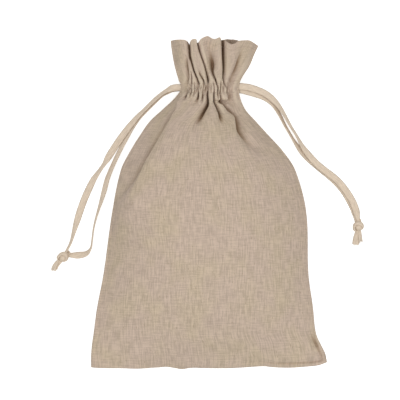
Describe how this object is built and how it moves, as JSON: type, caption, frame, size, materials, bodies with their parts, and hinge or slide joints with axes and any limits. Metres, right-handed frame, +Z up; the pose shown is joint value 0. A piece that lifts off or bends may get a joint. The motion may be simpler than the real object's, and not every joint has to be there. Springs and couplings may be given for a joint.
{
  "type": "drawstring pouch",
  "caption": "Woven cloth drawstring pouch lying on its back, lightly puffed, its neck gathered by flat tapes that lie out to each side and end in knots.",
  "frame": {"origin": "on the surface the pouch lies on, under the middle of the pouch without its tapes", "axes": "+X across the pouch to its right, +Y along it towards its mouth, +Z up from the surface"},
  "size_m": [0.2672, 0.282, 0.055],
  "materials": {
    "cloth": "fine slubby plain weave, undyed, matt",
    "tape": "flat woven cotton tape, unbleached, matt"
  },
  "bodies": {
    "root": {"front_panel": "cloth", "back_panel": "cloth", "left_tape_outer": "tape", "left_tape_inner": "tape", "right_tape_outer": "tape", "right_tape_inner": "tape", "left_knot": "tape", "right_knot": "tape"}
  },
  "joints": []
}
